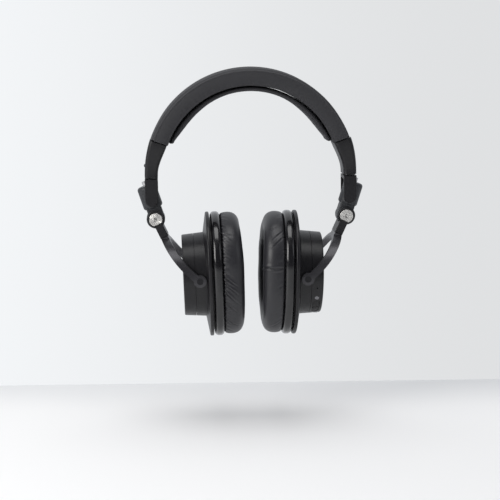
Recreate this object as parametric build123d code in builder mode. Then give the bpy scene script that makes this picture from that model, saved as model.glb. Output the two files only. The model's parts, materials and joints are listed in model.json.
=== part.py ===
from build123d import *
from math import cos, radians, sin, sqrt, tan
import os

# Over-ear studio headphones, hung by the headband with the ear cups square to the head.
#
# Millimetres. +Z is up, +X is the wearer's left and -Y is the wearer's front. The origin is the highest
# point of the headband cushion's inner face, where a head or a stand's saddle carries the weight.
# Every paired piece is modelled on the wearer's left and mirrored for the right.

# ---------------------------------------------------------------- driving dimensions

# Fits
running_gap = 0.3  # between faces that move past each other, and round soft pieces
shaft_gap = 0.05  # radial, between a pin and the hole it turns in
seat_gap = 0.1  # between lips and the walls they locate in
picking = 0.01  # how near an edge lies to the plane it is chosen by

# Headband: an arc about an axis along Y
cushion_radius = 68.2  # arc centre to the cushion's inner face at the top
cushion_depth = 4.1  # cushion at the top, where the weight flattens it
cushion_swell = 5.6  # cushion at its fullest, over the temples
cushion_tip = 0.9  # cushion at its ends
cushion_width = 31.0
cushion_end_angle = 21.3  # above the horizontal through the arc centre
cushion_temple_angle = 38.6
cushion_shoulder_angle = 58.3
cushion_fullest = 0.4  # share of the depth at which its sides stand furthest out
cushion_edge = 0.85  # share of the depth at which its sides turn into its face
cover_thickness = 15.6
cover_width = 38.0
cover_crown = 2.0  # rise of the outer face between its edges
cover_bulge = 1.2  # outward swell of the front and rear faces
cover_round = 2.2  # corner of the cover's section
cover_end_angle = 19.3  # above the horizontal through the arc centre
spring_thickness = 1.2
spring_width = 22.0
spring_inset = 5.6  # cover's inner face to the spring
spring_end_angle = 12.0

# End caps
cap_drop = 1.8  # arc centre to the cap's lower end
cap_top_thickness = 14.7
cap_end_thickness = 10.9
cap_top_width = 33.0
cap_end_width = 25.0
cap_round = 3.0
rivet_rise = 7.4  # arc centre to the rivet
rivet_radius = 1.6
rivet_shank = 1.0
rivet_dome = 0.8
detent_length = 9.0
detent_width = 6.0
detent_thickness = 0.4
detent_bow = 1.7
detent_pocket = 2.2

# Slider
strip_inset = 7.9  # outer face of the band to the inner face of the steel strip
strip_thickness = 1.0
strip_width = 14.0
strip_seat = 3.2  # length of strip held in the housing
notch_count = 10
notch_pitch = 2.0
notch_height = 0.9
notch_width = 4.0
housing_gap = 1.3  # between the cap and the housing
housing_thickness = 10.7
housing_width = 23.2
housing_length = 23.2
cheek_thickness = 2.4
housing_bevel = 0.45

# Swivel: a barrel between the housing's cheeks, leaning outward at the top
fold_inset = 8.4  # outer face of the band to the fold axis
fold_drop = 10.8  # lower end of the housing to the fold axis
swivel_lean = 18.0
swivel_offset = 1.3  # swivel axis inward of the fold axis
barrel_radius = 8.2
barrel_base = 8.9  # fold axis to the barrel's lower end, along the lean
barrel_height = 19.9
barrel_round_top = 2.6
barrel_round_base = 2.4
neck_width = 12.4
swivel_pin_radius = 2.5
swivel_pin_depth = 7.0  # length of the pin inside the barrel
swivel_pin_root = 3.6  # length of the pin inside the housing

# Fold hinge
knuckle_radius = 7.7
knuckle_width = 15.4
knuckle_round = 0.7
eye_radius = 6.9
eye_thickness = 2.5
eye_bevel = 0.45
fold_pin_radius = 2.0
disc_radius = 5.5
disc_thickness = 1.0
disc_seat = 0.6  # depth of the disc's recess
disc_flat = 4.3  # fold axis to the disc's flat edge
disc_bevel = 0.25

# Yoke
stem_lean = 25.0
stem_width = 6.8
stem_length = 16.5
arm_width = 6.0
arm_thickness = 3.0
arm_clearance = 0.9  # between the arms and the drum
arm_bow = 2.4  # sideways bow of the arms, seen from the front
pivot_boss = 5.2
pivot_radius = 1.5
pivot_head_radius = 2.7
pivot_head = 1.0
pivot_reach = 5.0  # length of the pivot pin inside its yoke arm and the cup's boss
pivot_fall = 48.2  # fold axis to the pivot, straight down
pivot_setback = 37.1  # pad's face to the pivot
pivot_washer = 0.2  # between the cup's boss and the yoke's arm

# Ear cup, measured outward along the cup's own axis from the middle plane of the head
cup_lean = 1.5  # lower edge of each cup leans toward the head
pad_face = 7.3
pad_thickness = 17.7
pad_height = 103.8
pad_width = 86.4
pad_ring = 20.9  # outer edge to the ear opening
pad_draw_in = 2.4  # how far the pad pulls in at its rear seam
pad_fullest = 0.43  # share of the thickness at which its sides stand furthest out
pad_edge = 0.81  # share of the thickness at which its sides turn into its face
pad_edge_width = 0.68  # width there, as a share of the ring's
baffle_thickness = 8.1
baffle_round = 3.4
rim_height = 105.2
rim_width = 88.0
rim_lip = 5.0  # radial width of the rim round the baffle's front pocket
baffle_plate = 3.0
baffle_pocket = 2.7
groove = 0.8
groove_depth = 5.0
flange_thickness = 3.1
flange_round = 1.1
cone_height = 2.6
cone_run = 15.6
spigot_width = 5.0
drum_radius = 35.5
drum_taper = 1.5  # how much the drum narrows over its depth
drum_depth = 18.1
body_depth = 8.1
parting_gap = 0.3
wall = 2.0
floor_thickness = 1.6
rib = 1.0
lip_height = 2.2
lip_thickness = 1.4
drum_round = 1.0
dish_radius = 27.0
dish_depth = 0.6
boss_radius = 3.2

# Driver
driver_radius = 22.5
driver_flange = 2.2
driver_depth = 4.0
magnet_radius = 11.0
magnet_height = 5.0
diaphragm_rise = 1.6
diaphragm_thickness = 0.5
grille_thickness = 0.8
grille_hole = 1.1
grille_pitch = 4.0
grille_rows = 9
screen_thickness = 0.6
screw_radius = 1.1
screw_head = 2.1
screw_head_height = 1.2
screw_length = 5.5
screw_angle = 45.0  # round each end of the oval, from its width

# Controls on the left cup's drum; angles are below the wearer's front
control_reach = 12.9  # drum's root to the middle of the controls
slot_angle = 50.0
slot_length = 17.9
slot_width = 5.4
key_parting = 0.5
key_travel = 0.5
key_inset = 0.2  # key faces below the drum's surface
key_flange = 1.2
key_flange_lip = 0.6
switch_board_thickness = 1.2
switch_dome = 1.5
switch_dome_height = 0.7
light_angle = 30.0
light_radius = 1.7
light_length = 3.7
jack_angle = 80.0
jack_bore = 1.8
jack_barrel = 2.9
jack_length = 13.5
charge_angle = 106.0
charge_width = 8.9
charge_height = 3.2
charge_wall = 0.5
charge_length = 7.0
charge_tongue = 0.7
microphone_angle = 14.0
microphone_radius = 2.2
microphone_length = 2.4
microphone_hole = 0.6
board_length = 34.0
board_width = 24.0
board_thickness = 1.6
board_post = 2.2
board_post_height = 10.0
battery_length = 36.0
battery_width = 26.0
battery_thickness = 5.6
battery_round = 1.5

# ---------------------------------------------------------------- places worked out from them

cover_inner = cushion_radius + cushion_depth + running_gap
band_outer = cover_inner + cover_thickness
arc_centre = Vector(0, 0, -cushion_radius)
strip_x = band_outer - strip_inset
cap_bottom = -cushion_radius - cap_drop
housing_top = cap_bottom - housing_gap
housing_bottom = housing_top - housing_length
fold_axis = Vector(band_outer - fold_inset, 0, housing_bottom - fold_drop)
swivel_up = Vector(sin(radians(swivel_lean)), 0, cos(radians(swivel_lean)))
swivel_out = Vector(cos(radians(swivel_lean)), 0, -sin(radians(swivel_lean)))
stem_down = Vector(-sin(radians(stem_lean)), 0, -cos(radians(stem_lean)))
eye_inner = knuckle_width / 2 + running_gap
eye_outer = eye_inner + eye_thickness
pivot_x = pad_face + pivot_setback
pivot = Vector(pivot_x, 0, fold_axis.Z - pivot_fall)
cup_axis = Vector(cos(radians(cup_lean)), 0, -sin(radians(cup_lean)))
cup_up = Vector(sin(radians(cup_lean)), 0, cos(radians(cup_lean)))
pad_back = pad_face + pad_thickness
baffle_front = pad_back + running_gap
plate_front = baffle_front + baffle_pocket
plate_back = plate_front + baffle_plate
baffle_back = baffle_front + baffle_thickness
flange_front = baffle_back + groove
flange_back = flange_front + flange_thickness
drum_root = flange_back + cone_height
drum_end = drum_root + drum_depth
control_x = drum_root + control_reach
body_end = drum_root + body_depth
cover_start = body_end + parting_gap
cover_floor = drum_end - dish_depth - floor_thickness
cavity_radius = drum_radius - drum_taper - wall
cover_cavity = cavity_radius - lip_thickness
screw_inset = groove_depth + spigot_width / 2
screw_circle = rim_width / 2 - screw_inset
screw_reach = screw_circle * cos(radians(screw_angle))
screw_rise = (rim_height - rim_width) / 2 + screw_circle * sin(radians(screw_angle))
boss_reach = drum_radius + arm_clearance - pivot_washer


def band_plane(angle, radius=0.0):
    """Plane across the headband at an angle above the horizontal, with its X axis outward."""
    outward = Vector(cos(radians(angle)), 0, sin(radians(angle)))
    along = Vector(-sin(radians(angle)), 0, cos(radians(angle)))
    return Plane(arc_centre + outward * radius, x_dir=outward, z_dir=along)


def swivel_plane(rise):
    """Plane square to the swivel axis, at a height above the fold axis."""
    origin = fold_axis - swivel_out * swivel_offset + swivel_up * rise
    return Plane(origin, x_dir=(0, 1, 0), z_dir=swivel_up)


def fold_plane(y):
    """Plane square to the fold axis, facing forward, with its X axis along +X."""
    return Plane(fold_axis + Vector(0, y, 0), x_dir=(1, 0, 0), z_dir=(0, -1, 0))


def cup_plane(x):
    """Plane square to the cup's axis, with its X axis to the rear and its Y axis up."""
    return Plane(pivot + cup_axis * (x - pivot_x), x_dir=(0, 1, 0), z_dir=cup_axis)


def drum_plane(x, angle, radius=0.0):
    """Plane that touches the drum at an angle below the front; its X axis lies along the cup's axis."""
    outward = Vector(0, -cos(radians(angle)), 0) - cup_up * sin(radians(angle))
    return Plane(pivot + cup_axis * (x - pivot_x) + outward * radius, x_dir=cup_axis, z_dir=outward)


def pivot_plane(y):
    """Plane square to the cup's pivot, facing rearward."""
    return Plane(pivot + Vector(0, y, 0), x_dir=(1, 0, 0), z_dir=(0, 1, 0))


def drum_radius_at(x):
    """Radius of the drum's outside at a distance along the cup's axis."""
    return drum_radius - drum_taper * (x - drum_root) / drum_depth


def write(piece, name):
    """Label a finished piece and write its STEP file."""
    piece.part.label = name
    export_step(piece.part, f"parts/{name}.step")


def write_pair(piece, name):
    """Write a piece of the wearer's left, and its mirror image for the right."""
    write(piece, f"{name}_left")
    with BuildPart() as twin:
        mirror(piece.part, about=Plane.YZ)
    write(twin, f"{name}_right")


os.makedirs("parts", exist_ok=True)

# ---------------------------------------------------------------- headband

cover_span = 180 - 2 * cover_end_angle
band_axis = Axis(arc_centre, (0, -1, 0))
spring_inner = cover_inner + spring_inset

# The padded sleeve: crowned outside, swelling faces, and a slit for the spring right through it
with BuildPart() as headband_cover:
    with BuildSketch(band_plane(cover_end_angle)):
        with BuildLine():
            edge_y = cover_width / 2 - cover_bulge
            crown = ThreePointArc(
                (band_outer - cover_crown, -edge_y),
                (band_outer, 0),
                (band_outer - cover_crown, edge_y),
            )
            rear = ThreePointArc(
                crown @ 1, (cover_inner + cover_thickness / 2, cover_width / 2), (cover_inner, edge_y)
            )
            inside = Line(rear @ 1, (cover_inner, -edge_y))
            ThreePointArc(
                inside @ 1, (cover_inner + cover_thickness / 2, -cover_width / 2), crown @ 0
            )
        sleeve = make_face()
        fillet(sleeve.vertices(), radius=cover_round)
    revolve(axis=band_axis, revolution_arc=cover_span)
    with BuildSketch(band_plane(cover_end_angle)):
        with Locations((spring_inner + spring_thickness / 2, 0)):
            Rectangle(spring_thickness + 2 * seat_gap, spring_width + 2 * running_gap)
    revolve(axis=band_axis, revolution_arc=cover_span, mode=Mode.SUBTRACT)
write(headband_cover, "headband_cover")

with BuildPart() as headband_spring:
    with BuildSketch(band_plane(spring_end_angle)):
        with Locations((spring_inner + spring_thickness / 2, 0)):
            Rectangle(spring_thickness, spring_width)
    revolve(axis=band_axis, revolution_arc=180 - 2 * spring_end_angle)
write(headband_spring, "headband_spring")

# The cushion is fullest over the temples, thinner where the weight bears, and tapers out at its ends
half_sections = [
    (cushion_end_angle, cushion_tip),
    ((cushion_end_angle + cushion_temple_angle) / 2, (cushion_tip + 3 * cushion_swell) / 4),
    (cushion_temple_angle, cushion_swell),
    (cushion_shoulder_angle, (cushion_swell + cushion_depth) / 2),
]
cushion_sections = (
    half_sections
    + [(90, cushion_depth)]
    + [(180 - angle, depth) for angle, depth in reversed(half_sections)]
)
with BuildPart() as headband_cushion:
    for angle, depth in cushion_sections:
        with BuildSketch(band_plane(angle, cushion_radius + cushion_depth)):
            with BuildLine():
                half = cushion_width / 2
                drawn = half - cushion_fullest * cushion_depth
                side_x = -cushion_fullest * depth
                edge_x = -cushion_edge * depth
                back = Line((cushion_tip, -drawn), (cushion_tip, drawn))
                rear = ThreePointArc(back @ 1, (side_x, half), (edge_x, drawn))
                face = ThreePointArc(rear @ 1, (-depth, 0), (edge_x, -drawn))
                ThreePointArc(face @ 1, (side_x, -half), back @ 0)
            make_face()
    loft()
    # its back follows the cover's inner face, a running gap away
    with BuildSketch(Plane.XZ):
        with Locations((0, arc_centre.Z)):
            Circle(cushion_radius + cushion_depth)
    extrude(amount=cushion_width, both=True, mode=Mode.INTERSECT)
write(headband_cushion, "headband_cushion")

# ---------------------------------------------------------------- end caps

channel_inner = strip_x - running_gap
channel_outer = strip_x + strip_thickness + running_gap
rivet_z = arc_centre.Z + rivet_rise
strip_bottom = housing_top - strip_seat
strip_top = arc_centre.Z + channel_inner * tan(radians(cover_end_angle)) - 2 * running_gap


def cap_block():
    """Solid outer form of one end cap, from the cover down to the housing."""
    with BuildPart() as block:
        for plane, angle in (
            (band_plane(0).offset(-cap_drop), 0),
            (band_plane(0), 0),
            (band_plane(cover_end_angle / 2), cover_end_angle / 2),
            (band_plane(cover_end_angle), cover_end_angle),
        ):
            share = angle / cover_end_angle
            thickness = cap_end_thickness + share * (cap_top_thickness - cap_end_thickness)
            width = cap_end_width + share * (cap_top_width - cap_end_width)
            with BuildSketch(plane):
                with Locations((band_outer - thickness / 2, 0)):
                    RectangleRounded(thickness, width, cap_round)
        loft()
    return block.part


with BuildPart() as end_cap_outer:
    add(cap_block())
    split(bisect_by=Plane.YZ.offset(channel_inner), keep=Keep.TOP)
    # channel for the steel strip, open to the inner cap and out of the lower end
    with BuildSketch(Plane.XY.offset(cap_bottom)):
        with Locations(((channel_inner + channel_outer) / 2, 0)):
            Rectangle(channel_outer - channel_inner, strip_width + 2 * running_gap)
    extrude(amount=strip_top + running_gap - cap_bottom, mode=Mode.SUBTRACT)
    # pocket behind the channel for the detent spring, and the hole for its rivet
    with BuildSketch(Plane.YZ.offset(channel_outer)):
        with Locations((0, rivet_z)):
            Rectangle(detent_width + 2 * running_gap, detent_length + 2 * running_gap)
    extrude(amount=detent_pocket, mode=Mode.SUBTRACT)
    with BuildSketch(Plane.YZ.offset(channel_outer)):
        with Locations((0, rivet_z)):
            Circle(rivet_shank)
    extrude(amount=cap_end_thickness, mode=Mode.SUBTRACT)
write_pair(end_cap_outer, "end_cap_outer")

with BuildPart() as end_cap_inner:
    add(cap_block())
    split(bisect_by=Plane.YZ.offset(channel_inner), keep=Keep.BOTTOM)
    # slit that holds the end of the spring band
    with BuildSketch(band_plane(spring_end_angle).offset(-seat_gap)):
        with Locations((spring_inner + spring_thickness / 2, 0)):
            Rectangle(spring_thickness + 2 * seat_gap, spring_width + 2 * seat_gap)
    revolve(axis=band_axis, revolution_arc=cover_end_angle, mode=Mode.SUBTRACT)
write_pair(end_cap_inner, "end_cap_inner")

rivet_face = sqrt(band_outer**2 - (rivet_rise - rivet_radius) ** 2)
dome_radius = (rivet_radius**2 + rivet_dome**2) / (2 * rivet_dome)
with BuildPart() as end_cap_rivet:
    with BuildSketch(Plane.XZ):
        with BuildLine():
            tail = Line((channel_outer + detent_pocket, rivet_z),
                        (channel_outer + detent_pocket, rivet_z + rivet_shank))
            shank = Line(tail @ 1, (rivet_face, rivet_z + rivet_shank))
            rim = Line(shank @ 1, (rivet_face, rivet_z + rivet_radius))
            dome = RadiusArc(rim @ 1, (rivet_face + rivet_dome, rivet_z), dome_radius)
            Line(dome @ 1, tail @ 0)
        make_face()
    revolve(axis=Axis((rivet_face, 0, rivet_z), (1, 0, 0)))
write_pair(end_cap_rivet, "end_cap_rivet")

# A bowed leaf that clicks into the strip's notches
detent_back = channel_outer + detent_pocket
with BuildPart() as detent_spring:
    with BuildSketch(Plane.XZ):
        with BuildLine():
            foot = (detent_back, rivet_z - detent_length / 2)
            toe = (detent_back, rivet_z + detent_length / 2)
            bow = ThreePointArc(foot, (detent_back - detent_bow, rivet_z), toe)
            step = Line(bow @ 1, bow @ 1 - Vector(detent_thickness, 0))
            inner = ThreePointArc(
                step @ 1,
                (detent_back - detent_bow - detent_thickness, rivet_z),
                bow @ 0 - Vector(detent_thickness, 0),
            )
            Line(inner @ 1, bow @ 0)
        make_face()
    extrude(amount=detent_width / 2, both=True)
write_pair(detent_spring, "detent_spring")

# ---------------------------------------------------------------- slider

with BuildPart() as slider_strip:
    with BuildSketch(Plane.XY.offset(strip_bottom)):
        with Locations((strip_x + strip_thickness / 2, 0)):
            Rectangle(strip_thickness, strip_width)
    extrude(amount=strip_top - strip_bottom)
    with BuildSketch(Plane.YZ.offset(strip_x)):
        with Locations((0, rivet_z + (notch_count - 1) * notch_pitch / 2)):
            with GridLocations(notch_width, notch_pitch, 1, notch_count):
                Rectangle(notch_width, notch_height)
    extrude(amount=strip_thickness, mode=Mode.SUBTRACT)
write_pair(slider_strip, "slider_strip")

bridge_rise = barrel_base + barrel_height + running_gap
pin_top = bridge_rise + swivel_pin_root
pin_base = barrel_base + barrel_height - swivel_pin_depth

with BuildPart() as slider_housing:
    with BuildSketch(Plane.XZ):
        with BuildLine():
            inner_x = band_outer - housing_thickness
            round_z = housing_bottom + housing_thickness / 2
            top = Line((inner_x, housing_top), (band_outer, housing_top))
            outer = Line(top @ 1, (band_outer, round_z))
            tip = ThreePointArc(
                outer @ 1, (band_outer - housing_thickness / 2, housing_bottom), (inner_x, round_z)
            )
            Line(tip @ 1, top @ 0)
        make_face()
    extrude(amount=housing_width / 2, both=True)
    chamfer(
        edges().filter_by(GeomType.CIRCLE)
        + edges().filter_by(Axis.Z)
        + edges().filter_by(Axis.X),
        length=housing_bevel,
    )
    # room between the cheeks for the barrel, up to a floor square to the swivel axis
    with BuildSketch(swivel_plane(bridge_rise)):
        Rectangle(housing_width - 2 * cheek_thickness, 4 * housing_thickness)
    extrude(amount=-2 * housing_length, mode=Mode.SUBTRACT)
    with BuildSketch(swivel_plane(bridge_rise)):
        Circle(swivel_pin_radius)
    extrude(amount=swivel_pin_root, mode=Mode.SUBTRACT)
    with BuildSketch(Plane.XY.offset(housing_top)):
        with Locations((strip_x + strip_thickness / 2, 0)):
            Rectangle(strip_thickness, strip_width)
    extrude(amount=-strip_seat, mode=Mode.SUBTRACT)
write_pair(slider_housing, "slider_housing")

with BuildPart() as swivel_pin:
    with BuildSketch(swivel_plane(pin_base)):
        Circle(swivel_pin_radius)
    extrude(amount=pin_top - pin_base)
write_pair(swivel_pin, "swivel_pin")

# ---------------------------------------------------------------- swivel block

with BuildPart() as swivel_block:
    with BuildSketch(swivel_plane(barrel_base)):
        Circle(barrel_radius)
    extrude(amount=barrel_height)
    rims = edges().filter_by(GeomType.CIRCLE).sort_by(Axis.Z)
    fillet(rims[-1], radius=barrel_round_top)
    fillet(rims[0], radius=barrel_round_base)
    with BuildSketch(fold_plane(knuckle_width / 2)):
        Circle(knuckle_radius)
    extrude(amount=knuckle_width)
    for face_y in (-knuckle_width / 2, knuckle_width / 2):
        at_face = edges().filter_by_position(Axis.Y, face_y - picking, face_y + picking)
        fillet(at_face.filter_by(GeomType.CIRCLE), radius=knuckle_round)
    # neck between the knuckle and the barrel
    with BuildSketch(swivel_plane(0)):
        RectangleRounded(knuckle_width - 2 * knuckle_round, neck_width, 2 * knuckle_round)
    extrude(amount=barrel_base + barrel_round_base)
    with BuildSketch(fold_plane(knuckle_width / 2)):
        Circle(fold_pin_radius + shaft_gap)
    extrude(amount=knuckle_width, mode=Mode.SUBTRACT)
    with BuildSketch(swivel_plane(pin_base - running_gap)):
        Circle(swivel_pin_radius + shaft_gap)
    extrude(amount=2 * barrel_height, mode=Mode.SUBTRACT)
write_pair(swivel_block, "swivel_block")

# ---------------------------------------------------------------- yoke


def stem_plane(distance, y=0.0):
    """Plane square to the stem, at a distance below the fold axis; its X axis points to the rear."""
    return Plane(fold_axis + stem_down * distance + Vector(0, y, 0), x_dir=(0, 1, 0), z_dir=stem_down)


def disc_outline():
    """Sketch of the hinge disc: a circle with a flat on the stem's side."""
    across = (cos(radians(stem_lean)), -sin(radians(stem_lean)))
    centre = (-sin(radians(stem_lean)), -cos(radians(stem_lean)))
    shift = disc_flat + disc_radius
    with BuildSketch(mode=Mode.PRIVATE) as outline:
        Circle(disc_radius)
        with Locations(Location((centre[0] * shift, centre[1] * shift, 0), (0, 0, 1), -stem_lean)):
            Rectangle(2 * disc_radius, 2 * disc_radius, mode=Mode.SUBTRACT)
    return outline.sketch


with BuildPart() as yoke_stem:
    with BuildSketch(fold_plane(eye_outer)):
        Circle(eye_radius)
    extrude(amount=2 * eye_outer)
    with BuildSketch(stem_plane(0)):
        Rectangle(2 * eye_outer, stem_width)
    extrude(amount=stem_length)
    for face_y in (-eye_outer, eye_outer):
        chamfer(edges().filter_by_position(Axis.Y, face_y - picking, face_y + picking), length=eye_bevel)
    # slot between the eyes for the knuckle
    with BuildSketch(fold_plane(eye_inner)):
        Circle(knuckle_radius + running_gap)
    extrude(amount=2 * eye_inner, mode=Mode.SUBTRACT)
    with BuildSketch(fold_plane(eye_outer)):
        Circle(fold_pin_radius)
    extrude(amount=2 * eye_outer, mode=Mode.SUBTRACT)
    # seats for the front disc and the rear cap
    with BuildSketch(fold_plane(-eye_outer)):
        add(disc_outline())
    extrude(amount=-disc_seat, mode=Mode.SUBTRACT)
    with BuildSketch(fold_plane(eye_outer)):
        add(disc_outline())
    extrude(amount=disc_seat, mode=Mode.SUBTRACT)
write_pair(yoke_stem, "yoke_stem")

with BuildPart() as fold_pin:
    with BuildSketch(fold_plane(eye_outer - disc_seat)):
        Circle(fold_pin_radius)
    extrude(amount=2 * (eye_outer - disc_seat))
write_pair(fold_pin, "fold_pin")

for name, front in (("hinge_disc", True), ("hinge_cap", False)):
    with BuildPart() as disc:
        with BuildSketch(fold_plane(disc_seat - eye_outer if front else eye_outer - disc_seat)):
            add(disc_outline())
        extrude(amount=disc_thickness if front else -disc_thickness)
        outer_face = faces().sort_by(Axis.Y)[0 if front else -1]
        chamfer(outer_face.edges(), length=disc_bevel)
    write_pair(disc, name)

# The yoke's arms: a bowed band seen from the front, and an arch over the drum seen from the side
junction = fold_axis + stem_down * stem_length
arch_half = drum_radius + arm_clearance + arm_thickness
arch_rise = junction.Z - pivot.Z - stem_width / 2 * sin(radians(stem_lean)) + arm_thickness / 2
chord = pivot - junction
bow_side = Vector(-chord.Z, 0, chord.X).normalized()
arm_middle = junction + chord * 0.5 + bow_side * arm_bow

with BuildPart() as yoke:
    with BuildSketch(Plane.XZ):
        with BuildLine(mode=Mode.PRIVATE) as centreline:
            ThreePointArc(
                (junction.X, junction.Z), (arm_middle.X, arm_middle.Z), (pivot.X, pivot.Z)
            )
        SlotArc(centreline.line.edge(), arm_width)
        with Locations((pivot.X, pivot.Z)):
            Circle(pivot_boss)
    extrude(amount=arch_half + arm_thickness, both=True)
    with BuildSketch(Plane.YZ):
        with Locations((0, pivot.Z)):
            Ellipse(arch_half, arch_rise)
            Ellipse(arch_half - arm_thickness, arch_rise - arm_thickness, mode=Mode.SUBTRACT)
        with Locations((0, pivot.Z + arch_rise - arm_thickness)):
            Rectangle(2 * eye_outer, 4 * arm_thickness, align=(Align.CENTER, Align.MIN))
    extrude(amount=2 * band_outer, mode=Mode.INTERSECT)
    split(bisect_by=stem_plane(stem_length), keep=Keep.TOP)
    # holes for the pivot pins, with seats for their heads
    with BuildSketch(pivot_plane(-arch_half)):
        Circle(pivot_radius)
    extrude(amount=2 * arch_half, mode=Mode.SUBTRACT)
    for side in (-1, 1):
        with BuildSketch(pivot_plane(side * (arch_half - pivot_head))):
            Circle(pivot_head_radius)
        extrude(amount=side * arm_thickness, mode=Mode.SUBTRACT)
write_pair(yoke, "yoke")

# pivot pins: each turns in the cup's boss and is fixed in its yoke arm, with a low head outside
with BuildPart() as pivot_pins:
    for side in (-1, 1):
        with BuildSketch(pivot_plane(side * (arch_half - pivot_reach))):
            Circle(pivot_radius)
        extrude(amount=side * pivot_reach)
        with BuildSketch(pivot_plane(side * arch_half)):
            Circle(pivot_head_radius)
        extrude(amount=-side * pivot_head)
write_pair(pivot_pins, "pivot_pins")

# ---------------------------------------------------------------- ear cup


def oval(height, width, inset=0.0, mode=Mode.ADD):
    """Upright oval of the pad and the rim: two half circles and two straight sides."""
    return SlotOverall(height - 2 * inset, width - 2 * inset, rotation=90, mode=mode)


with BuildPart() as cup_body:
    # rim plate, and the shallow cone up to the drum
    with BuildSketch(cup_plane(flange_front)):
        oval(rim_height, rim_width)
    extrude(amount=flange_thickness)
    fillet(edges().filter_by(lambda edge: edge.length > flange_thickness + 1), radius=flange_round)
    with BuildSketch(cup_plane(flange_back)):
        oval(rim_height, rim_width, flange_round)
    with BuildSketch(cup_plane(drum_root)):
        oval(rim_height, rim_width, flange_round + cone_run)
    loft(ruled=True)
    # drum up to the parting line
    with BuildSketch(cup_plane(flange_front)):
        Circle(drum_radius_at(flange_front))
    with BuildSketch(cup_plane(body_end)):
        Circle(drum_radius_at(body_end))
    loft(ruled=True)
    # spigot that seats on the back of the baffle plate
    with BuildSketch(cup_plane(plate_back)):
        oval(rim_height, rim_width, groove_depth)
        oval(rim_height, rim_width, groove_depth + spigot_width, mode=Mode.SUBTRACT)
    extrude(amount=flange_front - plate_back)
    # bosses that carry the pivot pins
    for side in (-1, 1):
        with BuildSketch(pivot_plane(side * (cavity_radius + wall / 2))):
            Circle(boss_radius)
        extrude(amount=side * (boss_reach - cavity_radius - wall / 2))
    # inside: a round cavity through to the baffle
    with BuildSketch(cup_plane(plate_back)):
        Circle(cavity_radius)
    extrude(amount=body_end - plate_back, mode=Mode.SUBTRACT)
    with BuildSketch(pivot_plane(-rim_width)):
        Circle(pivot_radius + shaft_gap)
    extrude(amount=2 * rim_width, mode=Mode.SUBTRACT)
    with BuildSketch(cup_plane(plate_back)):
        with GridLocations(2 * screw_reach, 2 * screw_rise, 2, 2):
            Circle(screw_radius)
    extrude(amount=screw_length - baffle_plate, mode=Mode.SUBTRACT)
write_pair(cup_body, "cup_body")


def drum_cover(with_controls):
    """Cover that closes the drum outside its parting line; the left one is cut for the controls."""
    with BuildPart() as cover:
        with BuildSketch(cup_plane(cover_start)):
            Circle(drum_radius_at(cover_start))
        with BuildSketch(cup_plane(drum_end)):
            Circle(drum_radius_at(drum_end))
        loft(ruled=True)
        fillet(faces().sort_by(Axis(pivot, cup_axis))[-1].edges(), radius=drum_round)
        with BuildSketch(cup_plane(drum_end)):
            Circle(dish_radius)
        extrude(amount=-dish_depth, mode=Mode.SUBTRACT)
        # lip that locates inside the cup body, and the hollow through it
        with BuildSketch(cup_plane(cover_start)):
            Circle(cavity_radius - seat_gap)
        extrude(amount=-lip_height - parting_gap)
        with BuildSketch(cup_plane(cover_floor)):
            Circle(cover_cavity)
        extrude(amount=-drum_depth, mode=Mode.SUBTRACT)
        if with_controls:
            # ribs that carry the switch board behind the keys, and posts for the circuit board
            for end in (-1, 1):
                with BuildSketch(drum_plane(control_x, slot_angle, switch_board_back)):
                    with Locations((0, end * switch_board_reach)):
                        Rectangle(slot_width, rib)
                extrude(amount=sqrt(cavity_radius**2 - switch_board_reach**2) - switch_board_back)
            with BuildSketch(cup_plane(cover_floor)):
                with GridLocations(board_width - 2 * board_post, board_length - 2 * board_post, 2, 2):
                    Circle(board_post)
            extrude(amount=-board_post_height)
            # openings for the keys, the light, the jack, the microphone and the charging socket
            with BuildSketch(drum_plane(control_x, slot_angle, switch_board_back)):
                SlotOverall(slot_length + 2 * running_gap, slot_width + 2 * running_gap, rotation=90)
            extrude(amount=drum_radius, mode=Mode.SUBTRACT)
            for angle, radius in (
                (light_angle, light_radius),
                (jack_angle, jack_barrel),
                (microphone_angle, microphone_hole),
            ):
                with BuildSketch(drum_plane(control_x, angle, switch_board_back)):
                    Circle(radius)
                extrude(amount=drum_radius, mode=Mode.SUBTRACT)
            with BuildSketch(drum_plane(control_x, charge_angle, switch_board_back)):
                SlotOverall(charge_width, charge_height, rotation=90)
            extrude(amount=drum_radius, mode=Mode.SUBTRACT)
    return cover


key_flange_reach = slot_length / 2 + key_flange_lip
key_flange_top = sqrt((cover_cavity - running_gap) ** 2 - key_flange_reach**2)
switch_board_front = key_flange_top - key_flange - key_travel - switch_dome_height - seat_gap
switch_board_back = switch_board_front - switch_board_thickness
switch_board_reach = key_flange_reach + running_gap + rib / 2

cup_cover_left = drum_cover(with_controls=True)
write(cup_cover_left, "cup_cover_left")
plain_cover = drum_cover(with_controls=False)
with BuildPart() as cup_cover_right:
    mirror(plain_cover.part, about=Plane.YZ)
write(cup_cover_right, "cup_cover_right")

with BuildPart() as baffle:
    with BuildSketch(cup_plane(baffle_front)):
        oval(rim_height, rim_width)
    extrude(amount=baffle_thickness)
    fillet(edges().filter_by(lambda edge: edge.length > baffle_thickness + 1), radius=baffle_round)
    with BuildSketch(cup_plane(baffle_front)):
        oval(rim_height, rim_width, rim_lip)
    extrude(amount=baffle_pocket, mode=Mode.SUBTRACT)
    with BuildSketch(cup_plane(plate_back)):
        oval(rim_height, rim_width, groove_depth)
    extrude(amount=baffle_back - plate_back, mode=Mode.SUBTRACT)
    with BuildSketch(cup_plane(plate_front)):
        Circle(driver_radius - driver_flange)
        with GridLocations(2 * screw_reach, 2 * screw_rise, 2, 2):
            Circle(screw_radius)
    extrude(amount=baffle_plate, mode=Mode.SUBTRACT)
write_pair(baffle, "baffle")

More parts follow.
